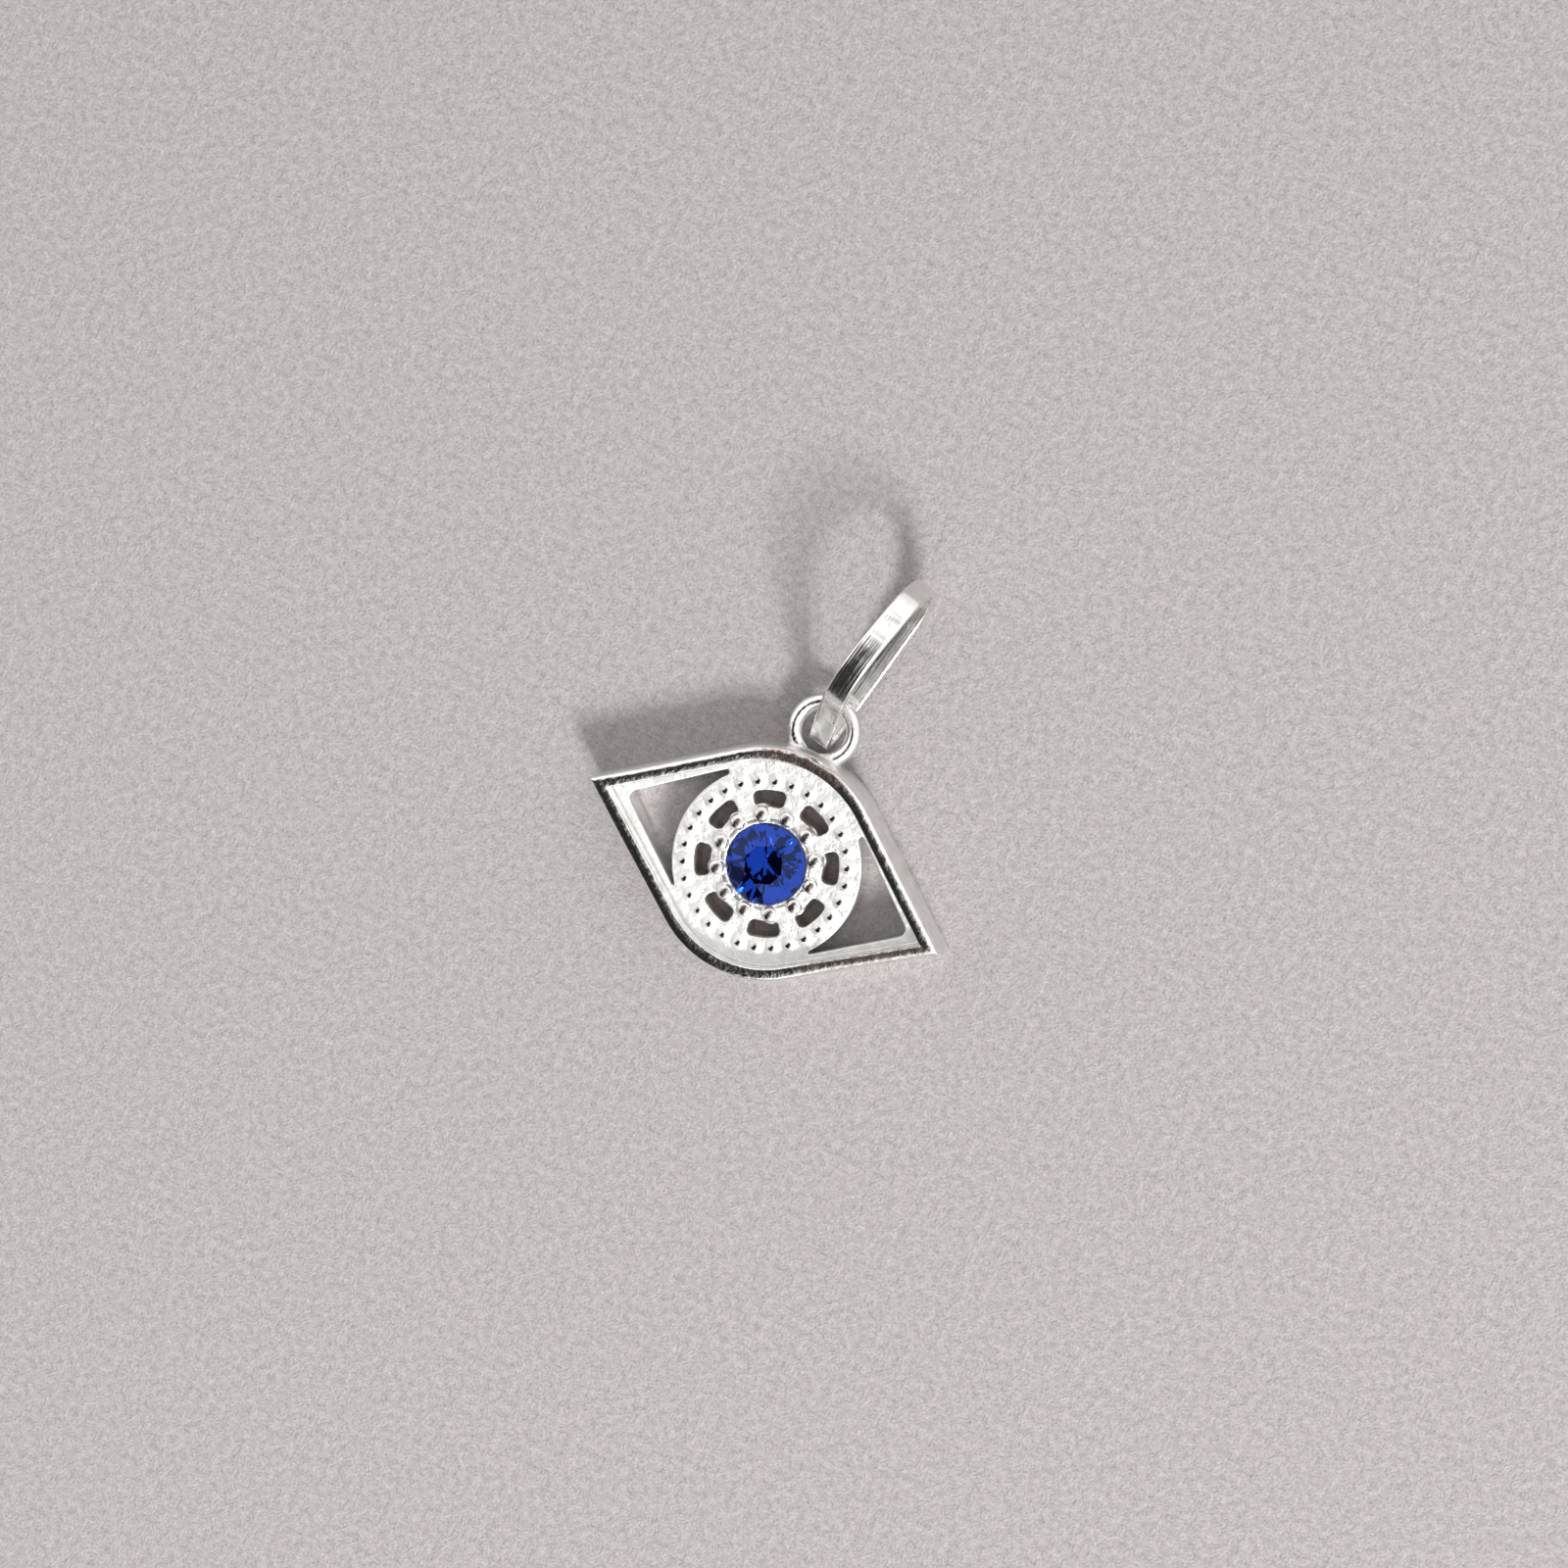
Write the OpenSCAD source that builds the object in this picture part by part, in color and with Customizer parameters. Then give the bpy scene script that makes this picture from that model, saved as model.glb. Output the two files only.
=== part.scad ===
// Eye pendant: a cast silver almond frame round a pierced and beaded iris, one round
// brilliant stone, a cast hanging loop, and a loose strip bail that hooks through the loop.
// Millimetres. The back plane is z = 0 and the middle of the eye is the origin.
// +X runs along the eye, +Y towards the hanging loop and +Z out of the front.

/* [Frame] */
// Half length of the eye, from its middle to a corner
eye_half_l = 7.42; // [7.3:0.01:7.5]
// Radius of the upper lid, on the side of the hanging loop
top_r = 4.5; // [4.48:0.01:4.52]
// Radius of the lower lid
low_r = 4.34; // [4.32:0.01:4.4]
// Height of the upright outer wall
wall_h = 1.35; // [1.3:0.01:1.4]
// Height of the top face of the rim
rim_h = 2.05; // [1.9:0.01:2.1]
// How far the shoulder leans in between the wall and the top face
shoulder_w = 0.1; // [0.08:0.01:0.14]
// Width of the rim, from the outline to the inner edge of its top face
rim_w = 0.52; // [0.48:0.01:0.56]
// Width of the steep step from the rim down to the ledge
step_w = 0.04; // [0.02:0.01:0.08]
// How far the step is set away from the loop, which leaves the rim widest there
rim_shift = 0.03; // [0:0.01:0.06]
// Height of the ledge and of the iris
face_h = 1.4; // [1.37:0.01:1.42]

/* [Side openings] */
// Width of the rim and ledge together, beside the iris
band_w = 0.72; // [0.7:0.01:0.76]
// The same at the corners of the eye
corner_w = 0.86; // [0.76:0.01:0.9]
// Radius of the outer corner of an opening
corner_r = 0.35; // [0.2:0.01:0.5]
// How far the tip towards the loop stops from where the band runs closest to the iris
top_tip_l = 0.68; // [0.6:0.01:0.9]
// The same for the tip away from the loop
low_tip_l = 0.92; // [0.6:0.01:1.1]

/* [Iris] */
// Radius of the iris
iris_r = 3.62; // [3.58:0.01:3.64]
// Number of low beads round the edge
edge_beads = 30; // [24:1:36]
// Radius of the ring that the edge beads stand on
edge_ring_r = 3.13; // [3.08:0.01:3.2]
// Radius of an edge bead
edge_bead_r = 0.3; // [0.26:0.01:0.31]
// Height of the middle of an edge bead
edge_bead_z = 1.28; // [1.25:0.01:1.32]
// Number of pierced slots
slots = 8; // [6:1:10]
// Inner radius of the slots
slot_in_r = 2.14; // [2.1:0.01:2.2]
// Outer radius of the slots
slot_out_r = 2.76; // [2.7:0.01:2.78]
// Length of a slot
slot_l = 1.2; // [1.1:0.01:1.25]
// Length cut off each corner of a slot
slot_corner = 0.1; // [0.05:0.01:0.15]

/* [Setting] */
// Radius of the collar round the stone
collar_r = 1.78; // [1.7:0.01:1.85]
// Height of the collar
collar_h = 1.47; // [1.44:0.01:1.47]
// Number of beads that hold the stone
set_beads = 12; // [8:1:12]
// Radius of the ring that the setting beads stand on
set_ring_r = 1.86; // [1.86:0.01:1.9]
// Radius of a setting bead
set_bead_r = 0.31; // [0.28:0.01:0.32]
// Height of the middle of a setting bead
set_bead_z = 1.36; // [1.3:0.01:1.4]
// Gap between the stone and its seat
seat_gap = 0.04; // [0.03:0.01:0.06]

/* [Stone] */
// Radius of the stone at its girdle
stone_r = 1.5; // [1.4:0.01:1.5]
// Radius of the table, to its corners
table_r = 0.76; // [0.7:0.01:0.85]
// Radius of the outer points of the star facets
star_r = 1.14; // [1.05:0.01:1.2]
// Height of the crown
crown_h = 0.4; // [0.35:0.01:0.5]
// Thickness of the girdle
girdle_t = 0.04; // [0.02:0.01:0.06]
// Depth of the pavilion
pavilion_d = 1.2; // [1.15:0.01:1.22]
// Radius of the inner points of the lower girdle facets
lower_r = 0.3; // [0.2:0.01:0.4]
// Height of the lower edge of the girdle
girdle_z = 1.48; // [1.48:0.01:1.5]

/* [Hanging loop] */
// Distance of the middle of the loop from the middle of the eye
loop_dist = 5.4; // [5.35:0.01:5.45]
// Angle by which the loop stands off the middle line
loop_turn = 2.4; // [0:0.1:4]
// Radius of the loop to the middle of its wire
loop_r = 1.12; // [1.1:0.01:1.15]
// Radius of the wire
loop_wire_r = 0.29; // [0.27:0.01:0.3]
// Height of the middle of the wire
loop_z = 0.88; // [0.86:0.01:0.9]
// Radius of the fillets between the loop and the frame
fillet_r = 0.35; // [0.25:0.01:0.45]
// Height of the fillets
fillet_h = 0.5; // [0.4:0.01:0.55]

/* [Bail] */
// Width of the strip
strip_w = 0.88; // [0.8:0.01:0.9]
// Thickness of the strip
strip_t = 0.26; // [0.22:0.01:0.28]
// Outer radius of the bend in the loop
tip_r = 0.65; // [0.62:0.01:0.66]
// Outer radius of the high part of the bail
crown_r = 2.55; // [2.5:0.01:2.58]
// Distance of the middle of the high part from the tip
crown_l = 4.2; // [4.1:0.01:4.3]
// Height of the middle of the high part above the middle of the bend
crown_rise = 1.95; // [1.93:0.01:2.1]
// Outer radius of the far end
end_r = 2; // [1.9:0.01:2.05]
// Distance of the middle of the far end from the tip
end_l = 5.5; // [5.4:0.01:5.6]
// Height of the middle of the far end above the middle of the bend
end_rise = 2; // [1.9:0.01:2.1]
// Angle by which the bail is turned from +Y towards +X
bail_turn = 11.5; // [8:0.5:14]
// Angle by which the bail leans over towards -X
bail_lean = 1.5; // [0:0.5:4]
// Place of the tip of the bail along X
bail_x = -0.28; // [-0.3:0.01:-0.15]
// Place of the tip of the bail along Y
bail_y = 4.79; // [4.78:0.01:4.85]
// Gap between the bail and the surface that the pendant lies on
rest_gap = 0.02; // [0.01:0.01:0.03]

/* [Hidden] */
silver = [0.88, 0.87, 0.85];
sapphire = [0.07, 0.14, 0.66];
arc_fn = 96;
bead_fn = 24;
// A cut starts and ends this far outside the metal
cut = 0.2;
// A thin layer, where a shape starts or two shapes overlap
thin = 0.02;
// The angle between a straight side of the outline and the X axis, above and below it
top_angle = asin(top_r / eye_half_l);
low_angle = asin(low_r / eye_half_l);
// The bottom of the seat, where its cone would end in a point
seat_slope = pavilion_d / stone_r;
seat_z = girdle_z - pavilion_d - seat_gap / cos(atan(seat_slope));

// The point at radius r and angle a
function polar(r, a) = [r * cos(a), r * sin(a)];

// The same point at height z
function polar_z(r, a, z) = [r * cos(a), r * sin(a), z];

// The outline of the eye, offset inwards: an upper and a lower lid, each an arc that runs
// straight on to the two corners
module almond(inset) {
    r = [top_r - inset, low_r - inset];
    corner_x = (r[0] * cos(low_angle) + r[1] * cos(top_angle)) / sin(top_angle + low_angle);
    corner_y = (r[0] - corner_x * sin(top_angle)) / cos(top_angle);
    top_arc = 90 - top_angle;
    low_arc = 90 - low_angle;
    polygon([[corner_x, corner_y], polar(r[0], top_arc), polar(r[0], 180 - top_arc),
        [-corner_x, corner_y], polar(r[1], 180 + low_arc), polar(r[1], -low_arc)]);
    intersection() {
        circle(r = r[0], $fn = arc_fn);
        translate([-top_r, 0]) square(2 * top_r);
    }
    intersection() {
        circle(r = r[1], $fn = arc_fn);
        translate([-low_r, -2 * low_r]) square(2 * low_r);
    }
}

// The frame as a solid block: upright wall, then a shoulder up to the rim
module frame_block() {
    hull() {
        linear_extrude(wall_h) almond(0);
        translate([0, 0, wall_h]) linear_extrude(rim_h - wall_h) almond(shoulder_w);
    }
}

// The hollow inside the rim, down to the ledge
module rim_hollow() {
    translate([0, -rim_shift, face_h]) hull() {
        linear_extrude(thin) almond(rim_w + step_w);
        translate([0, 0, rim_h - face_h]) linear_extrude(cut) almond(rim_w);
    }
}

// The point where the straight side from a tip touches the circle round the corner of an opening
function touch(tip, middle, way) =
    let (span = tip - middle, turn = acos(corner_r / norm(span)))
    middle + polar(corner_r, atan2(span[1], span[0]) - way * turn);

// One side opening, between the band and the iris
module side_opening() {
    middle = [(top_r - corner_w - corner_r) / sin(top_angle), 0];
    top_tip = polar(top_r - band_w, 90 - top_angle) + polar(top_tip_l, -top_angle);
    low_tip = polar(low_r - band_w, low_angle - 90) + polar(low_tip_l, low_angle);
    translate([0, 0, -cut]) linear_extrude(rim_h + 2 * cut) difference() {
        union() {
            polygon([top_tip, touch(top_tip, middle, 1), touch(low_tip, middle, -1), low_tip]);
            translate(middle) circle(r = corner_r, $fn = arc_fn / 2);
        }
        circle(r = iris_r, $fn = arc_fn);
    }
}

// One pierced slot of the iris, curved along the ring and with its corners cut off
module slot() {
    half_l = slot_l / 2;
    in_x = sqrt(slot_in_r * slot_in_r - half_l * half_l);
    out_x = sqrt(slot_out_r * slot_out_r - half_l * half_l);
    short_l = half_l - slot_corner - cut;
    translate([0, 0, -cut]) linear_extrude(rim_h + cut) intersection() {
        difference() {
            circle(r = slot_out_r, $fn = arc_fn);
            circle(r = slot_in_r, $fn = arc_fn);
        }
        polygon([[in_x + slot_corner, half_l], [in_x - cut, short_l], [in_x - cut, -short_l],
            [in_x + slot_corner, -half_l], [out_x - slot_corner, -half_l],
            [out_x + cut, -short_l], [out_x + cut, short_l], [out_x - slot_corner, half_l]]);
    }
}

// The seat under the stone: a cone that follows the pavilion, open at the top
module seat() {
    r = stone_r + seat_gap;
    top_z = set_bead_z + set_bead_r + cut;
    rotate_extrude($fn = arc_fn)
        polygon([[0, seat_z], [r, seat_z + r * seat_slope], [r, top_z], [0, top_z]]);
}

// The hanging loop: a round wire ring with fillets down to the frame
module hanging_loop() {
    near = top_r + fillet_r - thin;
    far = loop_r + loop_wire_r + fillet_r - thin;
    along = (near * near - far * far + loop_dist * loop_dist) / (2 * loop_dist);
    across = sqrt(near * near - along * along);
    ring = [0, loop_dist];
    rotate(loop_turn) {
        translate([0, loop_dist, loop_z]) rotate_extrude($fn = arc_fn)
            translate([loop_r, 0]) circle(r = loop_wire_r, $fn = bead_fn);
        translate([0, 0, loop_z - fillet_h / 2]) linear_extrude(fillet_h) for (s = [-1, 1]) {
            middle = [s * across, along];
            in_ring = ring + (middle - ring) * loop_r / far;
            in_frame = middle * (top_r - loop_wire_r) / near;
            difference() {
                polygon([middle, in_ring, [s * loop_r / 2, loop_dist - loop_r], in_frame]);
                translate(middle) circle(r = fillet_r, $fn = arc_fn / 2);
            }
        }
    }
}

// The whole casting: frame, iris, setting and hanging loop are one piece of silver
module eye_body() color(silver) difference() {
    union() {
        difference() {
            frame_block();
            rim_hollow();
            side_opening();
            mirror([1, 0, 0]) side_opening();
            for (i = [0 : slots - 1]) rotate((i + 0.5) * 360 / slots) slot();
        }
        cylinder(r = collar_r, h = collar_h, $fn = arc_fn);
        for (i = [0 : set_beads - 1]) rotate(i * 360 / set_beads)
            translate([set_ring_r, 0, set_bead_z]) sphere(r = set_bead_r, $fn = bead_fn);
        for (i = [0 : edge_beads - 1]) rotate(i * 360 / edge_beads)
            translate([edge_ring_r, 0, edge_bead_z]) sphere(r = edge_bead_r, $fn = bead_fn);
        hanging_loop();
    }
    seat();
}

// The stone: a round brilliant, with its corner k at the angle k * corner
module stone() color(sapphire) {
    mains = 8;
    corner = 360 / mains;
    top_z = girdle_z + girdle_t;
    table_z = top_z + crown_h;
    culet_z = girdle_z - pavilion_d;
    // A main facet is flat across its width, so a point half a corner off it lies nearer in
    half_cos = cos(corner / 2);
    star_z = table_z - crown_h * (star_r * half_cos - table_r) / (stone_r - table_r);
    lower_z = culet_z + pavilion_d * lower_r * half_cos / stone_r;
    points = concat(
        [for (k = [0 : mains - 1]) polar_z(table_r, k * corner, table_z)],
        [for (k = [0 : mains - 1]) polar_z(star_r, (k + 0.5) * corner, star_z)],
        [for (j = [0 : 2 * mains - 1]) polar_z(stone_r, j * corner / 2, top_z)],
        [for (j = [0 : 2 * mains - 1]) polar_z(stone_r, j * corner / 2, girdle_z)],
        [for (k = [0 : mains - 1]) polar_z(lower_r, (k + 0.5) * corner, lower_z)],
        [[0, 0, culet_z]]);
    star = mains;
    upper = 2 * mains;
    under = 4 * mains;
    low = 6 * mains;
    culet = 7 * mains;
    faces = concat(
        [[for (k = [mains - 1 : -1 : 0]) k]],
        [for (k = [0 : mains - 1]) [k, (k + 1) % mains, star + k]],
        [for (k = [0 : mains - 1]) [k, star + k, upper + 2 * k]],
        [for (k = [0 : mains - 1]) [k, upper + 2 * k, star + (k + mains - 1) % mains]],
        [for (k = [0 : mains - 1]) [star + k, upper + 2 * k + 1, upper + 2 * k]],
        [for (k = [0 : mains - 1]) [star + k, upper + (2 * k + 2) % (2 * mains), upper + 2 * k + 1]],
        [for (j = [0 : 2 * mains - 1]) let (n = (j + 1) % (2 * mains))
            [upper + j, upper + n, under + n, under + j]],
        [for (k = [0 : mains - 1]) [under + 2 * k, under + 2 * k + 1, low + k]],
        [for (k = [0 : mains - 1]) [under + 2 * k + 1, under + (2 * k + 2) % (2 * mains), low + k]],
        [for (k = [0 : mains - 1]) [under + 2 * k, low + k, culet]],
        [for (k = [0 : mains - 1]) [under + 2 * k, culet, low + (k + mains - 1) % mains]]);
    polyhedron(points = points, faces = faces);
}

// The straight-sided shape between two circles, each given as [along, up, radius]
function between(a, b) =
    let (span = [b[0] - a[0], b[1] - a[1]], along = span / norm(span), up = [-along[1], along[0]],
        spread = asin((b[2] - a[2]) / norm(span)))
    [for (s = [1, -1]) for (c = (s == 1) ? [a, b] : [b, a])
        [c[0], c[1]] + c[2] * (s * cos(spread) * up - sin(spread) * along)];

// The bail as a solid block, smaller by the inset: the smooth shape round three circles
module bail_block(inset, w) {
    circles = [
        [tip_r, 0, tip_r - inset],
        [crown_l, crown_rise, crown_r - inset],
        [end_l, end_rise, end_r - inset]];
    for (i = [0 : 2]) {
        c = circles[i];
        translate([c[0], c[1], -w / 2]) cylinder(r = c[2], h = w, $fn = arc_fn);
        linear_extrude(w, center = true) polygon(between(c, circles[(i + 1) % 3]));
    }
}

// The bail: one closed strip that hooks through the loop
module bail() color(silver) {
    tip_z = rest_gap + tip_r * cos(bail_lean) + strip_w / 2 * sin(bail_lean);
    translate([bail_x, bail_y, tip_z]) rotate([0, 0, 90 - bail_turn])
        rotate([-bail_lean, 0, 0]) rotate([90, 0, 0]) difference() {
            bail_block(0, strip_w);
            bail_block(strip_t, strip_w + 2 * cut);
        }
}

eye_body();
stone();
bail();
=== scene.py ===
"""The looks of the eye pendant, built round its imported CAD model. Sizes are in millimetres
until a mesh is made, and in the frame of the CAD: +X along the eye, +Y to the loop, +Z up."""

import math

import bmesh
import bpy
import numpy as np
from mathutils import Matrix, Vector


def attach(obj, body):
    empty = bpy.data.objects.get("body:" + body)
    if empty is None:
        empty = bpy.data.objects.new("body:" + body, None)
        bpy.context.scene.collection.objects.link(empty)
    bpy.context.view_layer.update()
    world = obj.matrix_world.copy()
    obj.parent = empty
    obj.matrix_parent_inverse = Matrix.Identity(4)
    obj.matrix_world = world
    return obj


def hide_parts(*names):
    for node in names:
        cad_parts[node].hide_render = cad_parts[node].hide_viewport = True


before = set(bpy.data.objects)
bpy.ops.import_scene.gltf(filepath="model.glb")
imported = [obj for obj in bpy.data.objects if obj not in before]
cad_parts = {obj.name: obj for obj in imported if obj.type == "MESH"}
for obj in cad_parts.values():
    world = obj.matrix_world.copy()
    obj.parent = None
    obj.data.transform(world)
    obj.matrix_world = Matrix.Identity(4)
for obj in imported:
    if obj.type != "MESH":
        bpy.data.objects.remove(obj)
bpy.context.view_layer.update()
MM = 0.001

# ---------------------------------------------------------------- camera
# The picture's right and up, laid in the plane of the pendant
PIC_RIGHT = Vector((0.895, 0.446, 0)).normalized()
PIC_UP = Vector((-PIC_RIGHT.y, PIC_RIGHT.x, 0))
LENS, SENSOR = 100, 36
CAM_DIST = 161.8
CAM_TILT = math.radians(13)
CAM_SIDE = (0.92, 0.39)  # the way the camera leans: share to the right, share up
AIM = Vector((-0.69, 2.985, 1.3))


def add_camera():
    cam = bpy.data.cameras.new("camera")
    cam.lens, cam.sensor_width = LENS, SENSOR
    cam.clip_start, cam.clip_end = 0.01, 5
    obj = bpy.data.objects.new("camera", cam)
    bpy.context.collection.objects.link(obj)
    side = (PIC_RIGHT * CAM_SIDE[0] + PIC_UP * CAM_SIDE[1]).normalized()
    back = side * math.sin(CAM_TILT) + Vector((0, 0, math.cos(CAM_TILT)))
    right = (PIC_RIGHT - back * PIC_RIGHT.dot(back)).normalized()
    up = back.cross(right)
    obj.matrix_world = Matrix.Translation((AIM + back * CAM_DIST) * MM) @ Matrix(
        (right, up, back)
    ).transposed().to_4x4()
    bpy.context.scene.camera = obj


add_camera()

# ---------------------------------------------------------------- sizes, as in the CAD
EYE_HALF, TOP_R, LOW_R = 7.42, 4.5, 4.34
RIM_H, FACE_H = 2.05, 1.4
SHOULDER_W, RIM_W, STEP_W, RIM_SHIFT = 0.1, 0.52, 0.04, 0.03
BAND_W, CORNER_W = 0.72, 0.86
TOP_TIP, LOW_TIP = 0.68, 0.92
IRIS_R = 3.62
EDGE_N, EDGE_RING = 30, 3.13
SLOT_N, SLOT_IN, SLOT_OUT, SLOT_L = 8, 2.14, 2.76, 1.2
COLLAR_R, COLLAR_H = 1.78, 1.47
SET_N, SET_RING, SET_R, SET_Z = 12, 1.86, 0.31, 1.36
STONE_R, GIRDLE_Z, GIRDLE_T = 1.5, 1.48, 0.04
CROWN_H, PAVILION_D, TABLE_R, STAR_R, LOWER_R = 0.4, 1.2, 0.76, 1.14, 0.3
SEAT_GAP = 0.04
LOOP_DIST, LOOP_TURN, LOOP_R, WIRE_R, LOOP_Z = 5.4, math.radians(2.4), 1.12, 0.29, 0.88
GIRDLE_SIDES = 64
STRIP_W, STRIP_T = 0.88, 0.26
# The three circles of the bail: along it, up it, outer radius
BAIL = ((0.65, 0, 0.65), (5.5, 2.0, 2.0), (4.2, 1.95, 2.55))
BAIL_TURN, BAIL_LEAN, BAIL_X, BAIL_Y = math.radians(11.5), math.radians(1.5), -0.28, 4.79
REST_GAP = 0.02

# ---------------------------------------------------------------- forms softer than in the CAD
BEVEL_W, BEVEL_LESS, BEVEL_SLOPE = 0.17, 0.09, 0.9  # less: how much narrower at the lower left
DOME, DOME_REACH = 0.5, 0.3
CORNER_SPAN = 4.3  # the length along a lid over which the band widens to its corner
EDGE_TOP, EDGE_R, EDGE_FOOT = 1.5, 0.36, 0.9
SLOT_CORNER = 0.22
# setting beads: how flat on top, half height, mean radius, how far up and out the bead is pushed
SET_FLAT, SET_HALF_H, SET_MEAN_R, SET_LIFT, SET_OUT = 2.6, 0.25, 0.27, 0.05, 0.02
POST_R, POST_OUT, POST_DROP = 0.36, 0.05, 0.04
HOLE_TRIM = 0.02
STRIP_EDGE_R, STRIP_EDGE_STEPS, STRIP_TURN_STEPS, STRIP_SIDE_STEPS = 0.1, 6, 160, 24
# radii of the blends between the forms
SOFT_SHOULDER, SOFT_RIM, SOFT_OPENING, SOFT_SLOT = 0.12, 0.05, 0.06, 0.07
SOFT_CORNER, SOFT_IRIS, SOFT_TIP = 0.45, 0.07, 0.12
SOFT_BEAD, SOFT_COLLAR, SOFT_BALL, SOFT_SEAT = 0.1, 0.08, 0.05, 0.03
SOFT_LOOP, SOFT_HOLE, SOFT_BACK = 0.22, 0.04, 0.04
# grid of the casting's mesh, the most triangles it may have, and the box that it is built in
GRID, QUICK_GRID, MOST_TRIANGLES = 0.05, 0.08, 190000
BODY_LOW, BODY_HIGH = (-7.6, -4.6, -0.1), (7.6, 7.0, 2.2)
WALL_SATIN = 0.8  # how satin the outer wall is; 1 is the iris

TOP_SIDE, LOW_SIDE = math.asin(TOP_R / EYE_HALF), math.asin(LOW_R / EYE_HALF)
SEAT_SLOPE = PAVILION_D / STONE_R
SEAT_Z = GIRDLE_Z - PAVILION_D - SEAT_GAP / math.cos(math.atan(SEAT_SLOPE))


# ---------------------------------------------------------------- distance fields
def smin(a, b, k):
    """The smaller of a and b, blended where they differ by less than k."""
    h = np.clip(0.5 + 0.5 * (b - a) / k, 0, 1)
    return b + (a - b) * h - k * h * (1 - h)


def smax(a, b, k):
    return -smin(-a, -b, k)


def lid(x, y, radius, side):
    """How far a point lies inside one lid, and how far it is along it towards a corner."""
    x = np.abs(x)
    nx, ny = math.sin(side), math.cos(side)
    along = x * ny - y * nx
    return radius - np.where(along < 0, np.hypot(x, y), x * nx + y * ny), along


def inset(x, y):
    """How far a point lies inside the outline of the eye."""
    return np.minimum(lid(x, y, TOP_R, TOP_SIDE)[0], lid(x, -y, LOW_R, LOW_SIDE)[0])


def fold(x, y, count, phase):
    """Radius and angle of the point, the angle taken from the middle of its sector, one of
    count equal ones; with phase 0 a sector has its middle on +X."""
    step = 2 * math.pi / count
    a = np.arctan2(y, x) - phase * step
    return np.hypot(x, y), a - np.round(a / step) * step


def rounded_box(u, v, half_u, half_v, r):
    """Distance to a box round 0 with corners of radius r."""
    qu, qv = np.abs(u) - half_u + r, np.abs(v) - half_v + r
    return np.hypot(np.maximum(qu, 0), np.maximum(qv, 0)) + np.minimum(np.maximum(qu, qv), 0) - r


def opening(x, y):
    """Distance into a side opening, seen from above."""
    sides, ends = [], []
    for r, side, way, tip in ((TOP_R, TOP_SIDE, 1, TOP_TIP), (LOW_R, LOW_SIDE, -1, LOW_TIP)):
        # the band is wider at the corner of the eye than beside the iris
        nx, ny = math.sin(side), math.cos(side)
        along = np.abs(x) * ny - way * y * nx
        wider = (CORNER_W - BAND_W) / CORNER_SPAN
        sides.append(np.abs(x) * nx + way * y * ny - r + BAND_W + wider * along)
        ends.append(tip - along)
    d = smax(smax(sides[0], sides[1], SOFT_CORNER), IRIS_R - np.hypot(x, y), SOFT_IRIS)
    return smax(smax(d, ends[0], SOFT_TIP), ends[1], SOFT_TIP)


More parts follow.
